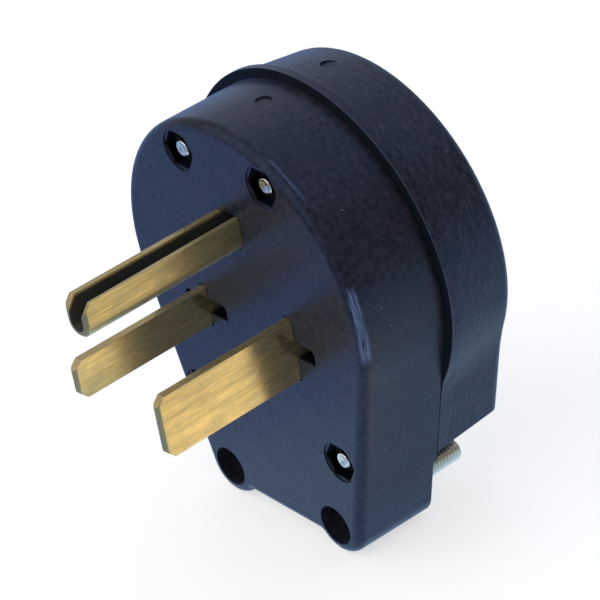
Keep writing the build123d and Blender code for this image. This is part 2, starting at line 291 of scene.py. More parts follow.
def worn_edges_and_highlights():
    """Patchy rubbing along edges, given how much of an edge a place is; on the plastic's front rim the same
    patches carry a painted highlight.
    """
    tree, start, end = new_group("worn edges and painted highlights", {"Edge": 0.0, "Patch Scale": 500.0}, ("Wear And Highlight",))
    patch = new_node(tree, "ShaderNodeTexNoise", Detail=4.0, Roughness=0.6)
    tree.links.new(start.outputs["Vector"], patch.inputs["Vector"])
    tree.links.new(start.outputs["Patch Scale"], patch.inputs["Scale"])
    broken = map_range(tree, patch.outputs[0], *WORN_RANGE, smooth=True)
    edge_pattern = math_node(tree, "MULTIPLY", broken, start.outputs["Edge"], clamp=True)
    tree.links.new(edge_pattern, end.inputs["Wear And Highlight"])
    return tree


GRAIN = moulded_grain()
WEAR_AND_HIGHLIGHT = worn_edges_and_highlights()
SPECKS = dust_specks()
STREAKS = rolled_streaks()


# What every material starts from

def place_group(tree, group, vector, values):
    """A group in a material, with its own values."""
    node = tree.nodes.new("ShaderNodeGroup")
    node.node_tree = group
    tree.links.new(vector, node.inputs["Vector"])
    for key, value in values.items():
        node.inputs[key].default_value = value
    return node


def new_material(name):
    """A material with its shader, and the object's coordinates."""
    material = bpy.data.materials.new(name)
    material.use_nodes = True
    tree = material.node_tree
    shader = tree.nodes["Principled BSDF"]
    place = tree.nodes.new("ShaderNodeTexCoord")
    return material, tree, shader, place.outputs["Object"]


def surface_facing(tree):
    """The way that the surface faces."""
    return tree.nodes.new("ShaderNodeNewGeometry").outputs["Normal"]


def bump(tree, shader, height, strength, distance):
    """Height as a bump on the shader's normal."""
    node = new_node(tree, "ShaderNodeBump", Strength=strength, Distance=distance)
    tree.links.new(height, node.inputs["Height"])
    tree.links.new(node.outputs[0], shader.inputs["Normal"])


# Moulded plastic; angles are in radians from the top of the dome, windows are low, high and blur

PLASTIC_WARM = (0.043, 0.031, 0.052)
PLASTIC_COOL = (0.034, 0.034, 0.043)
PLASTIC_DARK = (0.010, 0.008, 0.013)
FLOW_MARK_TONE = (0.07, 0.08, 0.10)
DUST_TONE = (0.25, 0.28, 0.34)
RIM_HIGHLIGHT_TONE = (0.16, 0.23, 0.42)
CREST_TONE = (0.12, 0.13, 0.20)
SHADE_TONE = (0.008, 0.009, 0.008)
PLASTIC_SPECULAR_TINT = (0.30, 0.55, 1.0, 1.0)
PLASTIC_SHEEN_TINT = (0.25, 0.45, 1.0, 1.0)
PLASTIC_SHEEN = 0.4
PLASTIC_SHEEN_ROUGHNESS = 0.35
PLASTIC_ROUGHNESS = (0.28, 0.40)
FLOW_MARK_SHARE = 0.5
CREST_TONE_SHARE = 0.5
SEAM_METALLIC = 0.45
SEAM_ROUGHNESS = 0.4
SKIN_RELIEF = 0.15 * MM
SKIN_WAVE = 0.8
SKIN_DUST = {"Size": 0.04, "Share": 0.45}
TURNED_PER_RADIAN = 10.0
TURNED_PER_METRE = 2600.0
TURNED_MIDDLE = 0.5
TURNED_RANGE = (0.35, 0.65)
FLAT_END_RANGE = (0.4, 0.8)
HIGHLIGHT_PER_RADIAN = 6.0
HIGHLIGHT_ACROSS = 12.0
FRONT_RIM_DEPTHS = (1.5 * MM, 2.5 * MM)
HIGH_HIGHLIGHT_ANGLES = (0.42, 0.70, 0.05)
HIGH_HIGHLIGHT_TURNS = (0.08, 0.32, 0.07)
HIGH_HIGHLIGHT_SHARE = 0.45
BROAD_HIGHLIGHT_ANGLES = (1.24, 1.68, 0.04)
BROAD_HIGHLIGHT_TURNS = (0.15, 0.85, 0.10)
BORE_TOP = 14.0 * MM
DOME_FOOT = 50.0 * MM
POCKET_LIMITS = (21.0 * MM, 29.2 * MM)
POCKET_DEPTHS = (0.6 * MM, 12.0 * MM, 0.3 * MM)
SEAM_DEPTHS = (PARTING_DEPTH - 0.15 * MM, PARTING_DEPTH + 0.06 * MM, 0.03 * MM)
CREST_DEPTHS = (PARTING_DEPTH - 0.02 * MM, PARTING_DEPTH + 0.25 * MM, 0.02 * MM)
CREST_INNER = (LIP_CREST - 0.22 * MM, LIP_CREST - 0.1 * MM)
CREST_OUTER = LIP_CREST + 0.1 * MM
LIP_FADE_ANGLES = (0.2, 0.9)
LIP_FADE_HEIGHTS = (29.5 * MM, 36.0 * MM)
LIP_TOP_SHARE = 0.4


def round_the_dome(tree, place):
    """Angle round the dome from its top, in radians, positive to the right."""
    x, _, z = split(tree, place)
    return math_node(tree, "ARCTAN2", x, minus(tree, z, DOME_AXIS_HEIGHT))


def reach(tree, x, rise):
    """Distance from an axis along the depth, from the way sideways and the way up."""
    return math_node(tree, "SQRT", plus(tree, times(tree, x, x), times(tree, rise, rise)))


def turned_lines(tree, place, facing):
    """Fine broken lines round the dome, level on flat ends."""
    run = times(tree, round_the_dome(tree, place), TURNED_PER_RADIAN)
    depth = times(tree, split(tree, place)[1], TURNED_PER_METRE)
    lines = noise(tree, joined(tree, run, depth), detail=3.0, rough=0.6)
    share = falling(tree, size_of(tree, split(tree, facing)[1]), *FLAT_END_RANGE)
    swing = times(tree, minus(tree, lines, TURNED_MIDDLE), share)
    return plus(tree, swing, TURNED_MIDDLE)


def rim_highlight_stretches(tree, angle, facing):
    """Painted highlight on stretches of the rounded front rim: a thin one high on the right, a broad one
    below.
    """
    turn = times(tree, split(tree, facing)[1], -1.0)
    high_angle = window(tree, angle, *HIGH_HIGHLIGHT_ANGLES)
    high = times(tree, high_angle, window(tree, turn, *HIGH_HIGHLIGHT_TURNS))
    broad_angle = window(tree, angle, *BROAD_HIGHLIGHT_ANGLES)
    broad = times(tree, broad_angle, window(tree, turn, *BROAD_HIGHLIGHT_TURNS))
    return larger(tree, times(tree, high, HIGH_HIGHLIGHT_SHARE), broad)


def painted_rim_highlight(tree, depth, angle, facing):
    """Painted highlight, broken into patches on those stretches and drawn out round the rim."""
    run = times(tree, angle, HIGHLIGHT_PER_RADIAN)
    across = times(tree, split(tree, facing)[1], HIGHLIGHT_ACROSS)
    edge_pattern = place_group(tree, WEAR_AND_HIGHLIGHT, joined(tree, run, across), {"Patch Scale": 1.0})
    front_rim = falling(tree, depth, *FRONT_RIM_DEPTHS)
    tree.links.new(times(tree, rim_highlight_stretches(tree, angle, facing), front_rim), edge_pattern.inputs["Edge"])
    return edge_pattern.outputs["Wear And Highlight"]


def recess_share(tree, place):
    """How far a place lies inside the slots and pockets that open in the face, where shade is painted."""
    x, y, z = split(tree, place)
    rise = larger(tree, minus(tree, z, DOME_CENTRE_HEIGHT), 0.0)
    limit = map_range(tree, z, BORE_TOP, DOME_FOOT, *POCKET_LIMITS)
    inside = math_node(tree, "LESS_THAN", reach(tree, x, rise), limit)
    above_bores = math_node(tree, "GREATER_THAN", z, BORE_TOP)
    return times(tree, times(tree, inside, above_bores), window(tree, y, *POCKET_DEPTHS))


def crest_share(tree, place):
    """How much of the lip's front crest a place is: the lighter line there is partly rubbing and partly a
    painted highlight.
    """
    x, y, z = split(tree, place)
    away = reach(tree, x, minus(tree, z, DOME_AXIS_HEIGHT))
    inner = map_range(tree, away, *CREST_INNER)
    outer = math_node(tree, "LESS_THAN", away, CREST_OUTER)
    return times(tree, times(tree, inner, outer), window(tree, y, *CREST_DEPTHS))


def lip_level(tree, place, angle):
    """Height in metres that lets the lip's back slope run into the band at the sides of the plug."""
    _, depth, height = split(tree, place)
    slope_start = PARTING_DEPTH + LIP_SLOPE_START
    slope_end = PARTING_DEPTH + LIP_WIDTH
    rise = map_range(tree, depth, slope_start, slope_end, 0.0, LIP_SLOPE_HEIGHT)
    upper = map_range(tree, size_of(tree, angle), *LIP_FADE_ANGLES, LIP_TOP_SHARE, 1.0)
    share = times(tree, upper, map_range(tree, height, *LIP_FADE_HEIGHTS))
    behind = map_range(tree, depth, slope_end, COVER_BACK)
    rest = times(tree, minus(tree, 1.0, share), behind)
    return times(tree, rise, plus(tree, share, rest))


def plastic_tone(tree, grain, lines, line_share):
    """Mottled blue-black with turned lines and thin flow marks."""
    light = mix_colour(tree, grain.outputs["Cloud"], PLASTIC_WARM, PLASTIC_COOL)
    body = mix_colour(tree, grain.outputs["Mottle"], PLASTIC_DARK, light)
    lined = map_range(tree, lines, *TURNED_RANGE, 1.0 - line_share, 1.0 + line_share)
    marks = times(tree, grain.outputs["Flow"], FLOW_MARK_SHARE)
    return mix_colour(tree, marks, scaled(tree, body, lined), FLOW_MARK_TONE)


def plastic_sheen(shader):
    """The even part of the plastic's shine."""
    shader.inputs["Specular IOR Level"].default_value = 0.5
    shader.inputs["Specular Tint"].default_value = PLASTIC_SPECULAR_TINT
    shader.inputs["Sheen Weight"].default_value = PLASTIC_SHEEN
    shader.inputs["Sheen Roughness"].default_value = PLASTIC_SHEEN_ROUGHNESS
    shader.inputs["Sheen Tint"].default_value = PLASTIC_SHEEN_TINT


def moulded_plastic(name, pebble, line_share, lipped):
    """Half-glossy moulded plastic: mottled skin, flow marks, a painted highlight on the front rim, a
    lighter crest line, and painted shade in the seam and recesses.
    """
    material, tree, shader, place = new_material(name)
    plastic_sheen(shader)
    facing = surface_facing(tree)
    depth = split(tree, place)[1]
    angle = round_the_dome(tree, place)
    grain = place_group(tree, GRAIN, place, {"Pebble": pebble, "Wave": SKIN_WAVE})
    specks = place_group(tree, SPECKS, place, SKIN_DUST)
    lines = turned_lines(tree, place, facing)
    seam = window(tree, depth, *SEAM_DEPTHS)
    recess = recess_share(tree, place)
    crest = times(tree, crest_share(tree, place), CREST_TONE_SHARE)
    body = plastic_tone(tree, grain, lines, line_share)
    body = mix_colour(tree, specks.outputs["Specks"], body, DUST_TONE)
    # Painted highlight on the rounded front rim, lighter and bluer than the plastic.
    body = mix_colour(tree, painted_rim_highlight(tree, depth, angle, facing), body, RIM_HIGHLIGHT_TONE)
    # Lighter line on the lip's crest: partly rubbing and partly a painted highlight.
    body = mix_colour(tree, crest, body, CREST_TONE)
    # Painted shade: the parting seam and the slots and pockets in the face go near-black, and turn metallic
    # so that they mirror little.
    body = mix_colour(tree, larger(tree, recess, seam), body, SHADE_TONE)
    tree.links.new(body, shader.inputs["Base Color"])
    shade_metallic = larger(tree, recess, times(tree, seam, SEAM_METALLIC))
    tree.links.new(shade_metallic, shader.inputs["Metallic"])
    gloss = map_range(tree, grain.outputs["Mottle"], 0.0, 1.0, *PLASTIC_ROUGHNESS)
    gloss = plus(tree, gloss, times(tree, seam, SEAM_ROUGHNESS))
    tree.links.new(gloss, shader.inputs["Roughness"])
    height = plus(tree, grain.outputs["Height"], times(tree, lines, line_share))
    height = times(tree, height, SKIN_RELIEF)
    if lipped:
        height = plus(tree, height, lip_level(tree, place, angle))
    bump(tree, shader, height, strength=1.0, distance=1.0)
    return material


# Metals

BRASS_BRIGHT = (0.97, 0.68, 0.27)
BRASS_STREAK = (0.66, 0.43, 0.14)
BRASS_DRAWN_STREAK = (0.54, 0.36, 0.115)
BRASS_TARNISH = (0.55, 0.40, 0.17)
BRASS_DIRT = (0.20, 0.15, 0.08)
BRASS_RUBBED_HIGHLIGHT = (0.98, 0.80, 0.42)
BRASS_FILM = (0.44, 0.43, 0.27)
BRASS_SHADE_TONE = (0.05, 0.047, 0.048)
SHEARED_BRIGHT = (0.50, 0.34, 0.13)
SHEARED_DARK = (0.28, 0.20, 0.09)
BRASS_SHEEN_TINT = (0.72, 0.95, 1.0, 1.0)
BRASS_SHEEN = 0.35
BRASS_METALLIC = 0.95
DARKENED_METALLIC_LOSS = 0.4
TARNISH_SHARE = 0.7
DIRT_SHARE = 0.7
BRASS_SPECKS = {"Size": 0.10, "Share": 0.45}
BRASS_WEAR_RATE = 700.0
ROUNDED_EDGE_RANGE = (0.80, 0.97)
SHEARED_RANGE = (-0.75, -0.50)
SHEARED_SHARE = 0.85
SHEARED_ROUGHNESS = 0.25
FILM_RATES = (1100.0, 220.0, 1100.0)
FILM_RANGE = (0.35, 0.70)
FILM_SHARES = (0.06, 0.34)
METAL_RELIEF = 0.05 * MM
BRASS_STREAK_BUMP = 0.15
BRASS_DRAWN_BUMP = 0.6
ZINC_BRIGHT = (0.86, 0.81, 0.71)
ZINC_DULL = (0.66, 0.62, 0.55)
ZINC_DARKENED = (0.03, 0.029, 0.028)
ZINC_FINENESS = 0.7
ZINC_ROUGHNESS = (0.18, 0.30)
OXIDE_DARK = (0.020, 0.019, 0.020)
OXIDE_LIGHT = (0.035, 0.033, 0.034)
OXIDE_METALLIC = 0.6
OXIDE_GRAIN = {"Pebble": 0.8, "Wave": 0.2}
OXIDE_CLOUDS = (0.3, 0.7)
OXIDE_ROUGHNESS = (0.35, 0.5)
OXIDE_BUMP = 0.2


def edge_share(tree, facing):
    """How much of a rounded edge a place is: none on faces that look straight along an axis."""
    sizes = new_node(tree, "ShaderNodeVectorMath", operation="ABSOLUTE")
    tree.links.new(facing, sizes.inputs[0])
    x, y, z = split(tree, sizes.outputs[0])
    most = larger(tree, larger(tree, x, y), z)
    return falling(tree, most, *ROUNDED_EDGE_RANGE)


def streaked_brass(tree, place, facing, streaks, dark_streak):
    """Bright brass with darker lines, tarnish, dirt and rubbed edges, whose paler colour is partly a
    painted edge highlight.
    """
    specks = place_group(tree, SPECKS, place, BRASS_SPECKS)
    edge_pattern = place_group(tree, WEAR_AND_HIGHLIGHT, place, {"Patch Scale": BRASS_WEAR_RATE})
    tree.links.new(edge_share(tree, facing), edge_pattern.inputs["Edge"])
    tarnish = times(tree, streaks.outputs["Tarnish"], TARNISH_SHARE)
    dirt = times(tree, specks.outputs["Specks"], DIRT_SHARE)
    colour = mix_colour(tree, streaks.outputs["Streaks"], dark_streak, BRASS_BRIGHT)
    colour = mix_colour(tree, tarnish, colour, BRASS_TARNISH)
    colour = mix_colour(tree, dirt, colour, BRASS_DIRT)
    # Rubbed edges: paler brass, partly real rubbing and partly a painted edge highlight.
    return mix_colour(tree, edge_pattern.outputs["Wear And Highlight"], colour, BRASS_RUBBED_HIGHLIGHT)


def brass_film(tree, place):
    """Share of a dull film, in patches drawn out along the depth."""
    film = noise(tree, stretched(tree, place, FILM_RATES), detail=4.0, rough=0.65)
    return map_range(tree, film, *FILM_RANGE, *FILM_SHARES)


def rolled_brass(name, darkening, low_gloss, high_gloss, relief=BRASS_STREAK_BUMP, dark_streak=BRASS_STREAK):
    """Rolled brass with lengthwise streaks, dull sheared ends, a film and a share of darkening, which
    paints shade inside the ground pin's channel.
    """
    material, tree, shader, place = new_material(name)
    shader.inputs["Sheen Weight"].default_value = BRASS_SHEEN
    shader.inputs["Sheen Tint"].default_value = BRASS_SHEEN_TINT
    facing = surface_facing(tree)
    streaks = place_group(tree, STREAKS, place, {"Fineness": 1.0})
    sheared = falling(tree, split(tree, facing)[1], *SHEARED_RANGE)
    end_tone = mix_colour(tree, streaks.outputs["Tarnish"], SHEARED_BRIGHT, SHEARED_DARK)
    dull = brass_film(tree, place)
    colour = streaked_brass(tree, place, facing, streaks, dark_streak)
    colour = mix_colour(tree, times(tree, sheared, SHEARED_SHARE), colour, end_tone)
    colour = mix_colour(tree, dull, colour, BRASS_FILM)
    # Darkening toward near-black; in the ground pin's channel this is painted shade.
    colour = mix_colour(tree, darkening, colour, BRASS_SHADE_TONE)
    tree.links.new(colour, shader.inputs["Base Color"])
    metallic = BRASS_METALLIC - DARKENED_METALLIC_LOSS * darkening
    tree.links.new(times(tree, minus(tree, 1.0, dull), metallic), shader.inputs["Metallic"])
    gloss = map_range(tree, streaks.outputs["Streaks"], 0.0, 1.0, high_gloss, low_gloss)
    gloss = plus(tree, gloss, times(tree, sheared, SHEARED_ROUGHNESS))
    tree.links.new(gloss, shader.inputs["Roughness"])
    bump(tree, shader, streaks.outputs["Streaks"], relief, METAL_RELIEF)
    return material


def zinc_plate(name, darkening):
    """Bright zinc plate on steel, with a share of darkening toward near-black."""
    material, tree, shader, place = new_material(name)
    shader.inputs["Metallic"].default_value = 1.0
    streaks = place_group(tree, STREAKS, place, {"Fineness": ZINC_FINENESS})
    colour = mix_colour(tree, streaks.outputs["Tarnish"], ZINC_BRIGHT, ZINC_DULL)
    colour = mix_colour(tree, darkening, colour, ZINC_DARKENED)
    tree.links.new(colour, shader.inputs["Base Color"])
    gloss = map_range(tree, streaks.outputs["Streaks"], 0.0, 1.0, *ZINC_ROUGHNESS)
    tree.links.new(gloss, shader.inputs["Roughness"])
    return material


def black_oxide():
    """Blackened steel of the nuts."""
    material, tree, shader, place = new_material("black_oxide")
    shader.inputs["Metallic"].default_value = OXIDE_METALLIC
    grain = place_group(tree, GRAIN, place, OXIDE_GRAIN)
    colour = mix_colour(tree, grain.outputs["Cloud"], OXIDE_DARK, OXIDE_LIGHT)
    tree.links.new(colour, shader.inputs["Base Color"])
    gloss = map_range(tree, grain.outputs["Cloud"], *OXIDE_CLOUDS, *OXIDE_ROUGHNESS)
    tree.links.new(gloss, shader.inputs["Roughness"])
    bump(tree, shader, grain.outputs["Height"], OXIDE_BUMP, METAL_RELIEF)
    return material


finishes = {
    "housing_plastic": moulded_plastic("moulded_plastic", pebble=0.34, line_share=0.1, lipped=False),
    "blade_brass": rolled_brass("rolled_brass", darkening=0.0, low_gloss=0.12, high_gloss=0.26),
    "zinc_steel": zinc_plate("zinc_plate", darkening=0.0),
    "blackened_steel": black_oxide(),
}
slot_darkened = zinc_plate("zinc_slot", darkening=0.85)
for part in frame["record"]["subparts"]:
    node = nodes[part["node"]]
    node.data.materials.clear()
    node.data.materials.append(finishes[part["material_slot"]])
cover = nodes["rear_cover"]
cover.data.materials[0] = moulded_plastic("moulded_plastic_cover", pebble=0.45, line_share=0.7, lipped=True)


# Tools for pieces that stand for CAD nodes

WELD_GAP = 0.002 * MM
TURNING_STEPS = 40


def clear_selection():
    """Nothing selected, so that the next operator takes only its own piece."""
    bpy.ops.object.select_all(action="DESELECT")


def take(piece):
    """One piece selected and active."""
    clear_selection()
    piece.select_set(True)
    bpy.context.view_layer.objects.active = piece


def draw_line(name, points):
    """A line of edges through points (radius, height), drawn vertex by vertex."""
    clear_selection()
    bpy.ops.mesh.primitive_plane_add(size=MM, location=(0.0, 0.0, 0.0))
    piece = bpy.context.object
    piece.name = name
    bpy.ops.object.mode_set(mode="EDIT")
    bpy.ops.mesh.select_all(action="SELECT")
    bpy.ops.mesh.merge(type="CENTER")
    bpy.ops.transform.translate(value=(points[0][0], 0.0, points[0][1]))
    for before, after in zip(points, points[1:]):
        step = (after[0] - before[0], 0.0, after[1] - before[1])
        bpy.ops.mesh.extrude_vertices_move(TRANSFORM_OT_translate={"value": step})
    bpy.ops.object.mode_set(mode="OBJECT")
    return piece


def weld(piece):
    """Doubled vertices merged and normals turned outwards."""
    take(piece)
    bpy.ops.object.mode_set(mode="EDIT")
    bpy.ops.mesh.select_all(action="SELECT")
    bpy.ops.mesh.remove_doubles(threshold=WELD_GAP)
    bpy.ops.mesh.normals_make_consistent(inside=False)
    bpy.ops.object.mode_set(mode="OBJECT")


def lathe(name, points):
    """A turned piece from its half section."""
    piece = draw_line(name, points)
    bpy.ops.object.mode_set(mode="EDIT")
    bpy.ops.mesh.select_all(action="SELECT")
    bpy.ops.mesh.spin(steps=TURNING_STEPS, angle=math.tau, center=(0.0, 0.0, 0.0), axis=(0.0, 0.0, 1.0))
    bpy.ops.object.mode_set(mode="OBJECT")
    weld(piece)
    return piece


def combine(piece, tool, operation):
    """Boolean of a piece with a tool, which is then removed."""
    take(piece)
    bpy.ops.object.modifier_add(type="BOOLEAN")
    modifier = piece.modifiers[-1]
    modifier.operation = operation
    modifier.object = tool
    bpy.ops.object.modifier_apply(modifier=modifier.name)
    bpy.data.objects.remove(tool)


# Screws

THREAD_PITCH = 0.794 * MM
THREAD_DEPTH = 0.55 * THREAD_PITCH
THREAD_STEPS = 32
SPARE_TURNS = 4
FIRST_CUT_TURNS = 1.5
LAST_CUT_TURNS = 0.5
WOUND_DROP = 2.5 * THREAD_PITCH
TIP_CHAMFER = 0.4 * MM
TIP_CUP = 0.3 * MM
HEAD_ROUND = 0.7 * MM
HEAD_ARC_STEPS = 5
SLOT_WIDTH = 0.9 * MM
SLOT_DEPTH = 1.0 * MM
SLOT_MARGIN = 0.01
SCREW_SMOOTH_ANGLE = math.radians(35.0)
COVER_SCREW = {"radius": 1.75 * MM, "head_radius": 3.0 * MM, "head_height": 2.2 * MM, "thread": 6.0 * MM}
CLAMP_SCREW = {"radius": 2.08 * MM, "head_radius": 3.45 * MM, "head_height": 2.8 * MM, "thread": 12.0 * MM}


def thread_section(crest):
    """One turn of thread in half section: root, crest and root again, by shares of the pitch."""
    root = crest - THREAD_DEPTH
    corners = ((root, 0.0), (root, 0.16), (crest, 0.46), (crest, 0.62), (root, 0.92), (root, 1.0))
    return [(radius, share * THREAD_PITCH) for radius, share in corners]


def cut_ends(turns):
    """The wound thread being edited, cut flat and filled at both ends."""
    low = FIRST_CUT_TURNS * THREAD_PITCH
    high = (turns - LAST_CUT_TURNS) * THREAD_PITCH
    for height, side in ((low, -1.0), (high, 1.0)):
        bpy.ops.mesh.select_all(action="SELECT")
        bpy.ops.mesh.bisect(
            plane_co=(0.0, 0.0, height), plane_no=(0.0, 0.0, side), use_fill=True, clear_outer=True
        )


def helix(name, crest, turns):
    """A threaded bar wound by the Screw modifier."""
    piece = draw_line(name, thread_section(crest))
    bpy.ops.object.modifier_add(type="SCREW")
    screw = piece.modifiers[-1]
    screw.axis = "Z"
    screw.angle = math.tau
    screw.screw_offset = THREAD_PITCH
    screw.iterations = turns
    screw.steps = THREAD_STEPS
    screw.render_steps = THREAD_STEPS
    bpy.ops.object.modifier_apply(modifier=screw.name)
    weld(piece)
    bpy.ops.object.mode_set(mode="EDIT")
    cut_ends(turns)
    bpy.ops.object.mode_set(mode="OBJECT")
    weld(piece)
    return piece


def threaded_end(name, radius, thread):
    """The threaded end of a screw, with a cupped and chamfered tip."""
    tip = lathe(name, [
        (0.0, TIP_CUP),
        (0.3 * radius, 0.8 * TIP_CUP),
        (0.55 * radius, 0.0),
        (radius - TIP_CHAMFER, 0.0),
        (radius, TIP_CHAMFER),
        (radius, thread),
        (0.0, thread),
    ])
    turns = math.ceil(thread / THREAD_PITCH) + SPARE_TURNS
    wound = helix(name + "_thread", radius, turns)
    take(wound)
    bpy.ops.transform.translate(value=(0.0, 0.0, -WOUND_DROP))
    bpy.ops.object.transform_apply()
    combine(tip, wound, "INTERSECT")
    tip.data.materials.clear()
    tip.data.materials.append(finishes["zinc_steel"])
    return tip


def cut_slot(head, length, head_radius):
    """A driver's slot cut across a head, with the slot's own faces darkened."""
    clear_selection()
    bpy.ops.mesh.primitive_cube_add(size=1.0, location=(0.0, 0.0, length))
    cutter = bpy.context.object
    cutter.scale = (SLOT_WIDTH, 3.0 * head_radius, 2.0 * SLOT_DEPTH)
    bpy.ops.object.transform_apply(location=True, rotation=True, scale=True)
    combine(head, cutter, "DIFFERENCE")
    head.data.materials.clear()
    head.data.materials.append(finishes["zinc_steel"])
    head.data.materials.append(slot_darkened)
    half_width = (0.5 + SLOT_MARGIN) * SLOT_WIDTH
    lowest = length - (1.0 + SLOT_MARGIN) * SLOT_DEPTH
    highest = length - SLOT_MARGIN * SLOT_DEPTH
    for face in head.data.polygons:
        inside = abs(face.center.x) < half_width and lowest < face.center.z < highest
        face.material_index = 1 if inside else 0


def screw_head(name, length, radius, head_radius, head_height, thread):
    """The plain shank and the slotted pan head of a screw."""
    under = length - head_height
    overlap = thread - THREAD_PITCH
    turns = [math.radians(90.0 * step / HEAD_ARC_STEPS) for step in range(HEAD_ARC_STEPS + 1)]
    side = head_radius - HEAD_ROUND
    top = length - HEAD_ROUND
    arc = [(side + HEAD_ROUND * math.cos(turn), top + HEAD_ROUND * math.sin(turn)) for turn in turns]
    head = lathe(name, [
        (0.0, overlap),
        (radius - THREAD_DEPTH, overlap),
        (radius, thread),
        (radius, under),
        (head_radius, under),
        *arc,
        (0.0, length),
    ])
    cut_slot(head, length, head_radius)
    return head


def slotted_screw(name, length, radius, head_radius, head_height, thread):
    """A machine screw along Z, tip down."""
    tip = threaded_end(name, radius, thread)
    head = screw_head(name + "_head", length, radius, head_radius, head_height, thread)
    take(tip)
    head.select_set(True)
    bpy.ops.object.join()
    bpy.ops.object.shade_smooth_by_angle(angle=SCREW_SMOOTH_ANGLE)
    return tip


def seat(pattern, node, turn, anchor):
    """A copy of a screw, turned along the depth and moved to its node."""
    low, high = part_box(node)
    take(pattern)
    bpy.ops.object.duplicate()
    piece = bpy.context.object
    piece.name = node + "_threaded"
    piece.rotation_euler = (turn, 0.0, 0.0)
    piece.location = ((low.x + high.x) / 2, anchor, (low.z + high.z) / 2)
    bpy.ops.object.transform_apply(location=True, rotation=True, scale=True)
    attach(piece, "root")
    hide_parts(node)


def screws():
    """The four cover screws and the two clamp screws."""
    low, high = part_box("cover_screw_upper_left")
    pattern = slotted_screw("cover_screw", high.y - low.y, **COVER_SCREW)
    for corner in ("upper_left", "upper_right", "lower_left", "lower_right"):
        seat(pattern, "cover_screw_" + corner, -math.pi / 2, low.y)
    bpy.data.objects.remove(pattern)
    low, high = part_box("clamp_screw_left")
    pattern = slotted_screw("clamp_screw", high.y - low.y, **CLAMP_SCREW)
    for side in ("left", "right"):
        seat(pattern, "clamp_screw_" + side, math.pi / 2, high.y)
    bpy.data.objects.remove(pattern)


# Rounded blades, ground pin and cord clamp

COPY_WELD_GAP = 0.001 * MM
FLAT_ANGLE = math.radians(1.0)
SHARP_ANGLE = math.radians(25.0)
EDGE_SMOOTH_ANGLE = math.radians(40.0)
EDGE_STEPS = 3
FLAT_FACE_WEIGHT = 100
BLADE_EDGE = 0.12 * MM
CHANNEL_EDGE = 0.6 * MM
CLAMP_EDGE = 0.15 * MM
SIDEWAYS = 0.9
UPWARDS = 0.5
CHANNEL_MARGIN = 0.05 * MM


def ease_channel(piece, width):
    """The inner top edges of a channel's two walls rounded off."""
    bpy.ops.object.mode_set(mode="EDIT")
    bpy.ops.mesh.select_mode(type="EDGE")
    bpy.ops.mesh.select_all(action="DESELECT")
    bpy.ops.object.mode_set(mode="OBJECT")
    beside = {}
    for face in piece.data.polygons:
        for key in face.edge_keys:
            beside.setdefault(key, []).append(face.normal.copy())
    corners = piece.data.vertices
    for edge in piece.data.edges:
        x = corners[edge.vertices[0]].co.x
        normals = beside[edge.key]
        inward = any(normal.x * x < 0.0 and abs(normal.x) > SIDEWAYS for normal in normals)
        upward = any(normal.z > UPWARDS for normal in normals)
        edge.select = inward and upward
    bpy.ops.object.mode_set(mode="EDIT")
    bpy.ops.mesh.bevel(offset=width, segments=EDGE_STEPS, affect="EDGES")
    bpy.ops.object.mode_set(mode="OBJECT")


def whole_copy(node):
    """A copy of a node with its triangles merged into whole faces."""
    piece = bpy.data.objects.new(node + "_rounded", nodes[node].data.copy())
    scene.collection.objects.link(piece)
    take(piece)
    bpy.ops.mesh.customdata_custom_splitnormals_clear()
    bpy.ops.object.mode_set(mode="EDIT")
    bpy.ops.mesh.select_all(action="SELECT")
    bpy.ops.mesh.remove_doubles(threshold=COPY_WELD_GAP)
    bpy.ops.mesh.normals_make_consistent(inside=False)
    bpy.ops.mesh.dissolve_limited(angle_limit=FLAT_ANGLE)
    bpy.ops.object.mode_set(mode="OBJECT")
    return piece


def round_edges(piece, width):
    """The sharp edges of the active piece rounded, and its flat faces kept flat to the light."""
    bpy.ops.object.modifier_add(type="BEVEL")
    bevel = piece.modifiers[-1]
    bevel.width = width
    bevel.segments = EDGE_STEPS
    bevel.limit_method = "ANGLE"
    bevel.angle_limit = SHARP_ANGLE
    bpy.ops.object.modifier_apply(modifier=bevel.name)
    bpy.ops.object.shade_smooth_by_angle(angle=EDGE_SMOOTH_ANGLE)
    bpy.ops.object.modifier_add(type="WEIGHTED_NORMAL")
    weighted = piece.modifiers[-1]
    weighted.keep_sharp = True
    weighted.weight = FLAT_FACE_WEIGHT
    bpy.ops.object.modifier_apply(modifier=weighted.name)


def softened(node, width, inner_width=None):
    """A copy of a node with its edges slightly rounded."""
    piece = whole_copy(node)
    if inner_width:
        ease_channel(piece, inner_width)
    round_edges(piece, width)
    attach(piece, "root")
    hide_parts(node)
    return piece


def paint_channel_shade(pin):
    """Painted shade: near-black, rough brass on the faces inside the ground pin's channel."""
    pin.data.materials.append(rolled_brass("channel_brass", darkening=0.95, low_gloss=0.45, high_gloss=0.60))
    half = 0.5 * GROUND_WIDTH - GROUND_WALL + CHANNEL_MARGIN
    corners = pin.data.vertices
    for face in pin.data.polygons:
        inward = face.normal.x * face.center.x < 0.0
        widest = max(abs(corners[index].co.x) for index in face.vertices)
        if widest < half and (inward or face.normal.z > UPWARDS):
            face.material_index = 1


screws()
for metal in ("wide_blade", "narrow_blade"):
    softened(metal, BLADE_EDGE)
pin = softened("ground_pin", BLADE_EDGE, CHANNEL_EDGE)
pin.data.materials[0] = rolled_brass(
    "formed_brass",
    darkening=0.0,
    low_gloss=0.20,
    high_gloss=0.38,
    relief=BRASS_DRAWN_BUMP,
    dark_streak=BRASS_DRAWN_STREAK,
)
paint_channel_shade(pin)
softened("cord_clamp", CLAMP_EDGE)


# Stage; along runs roughly to the right across the picture, ahead roughly towards the camera

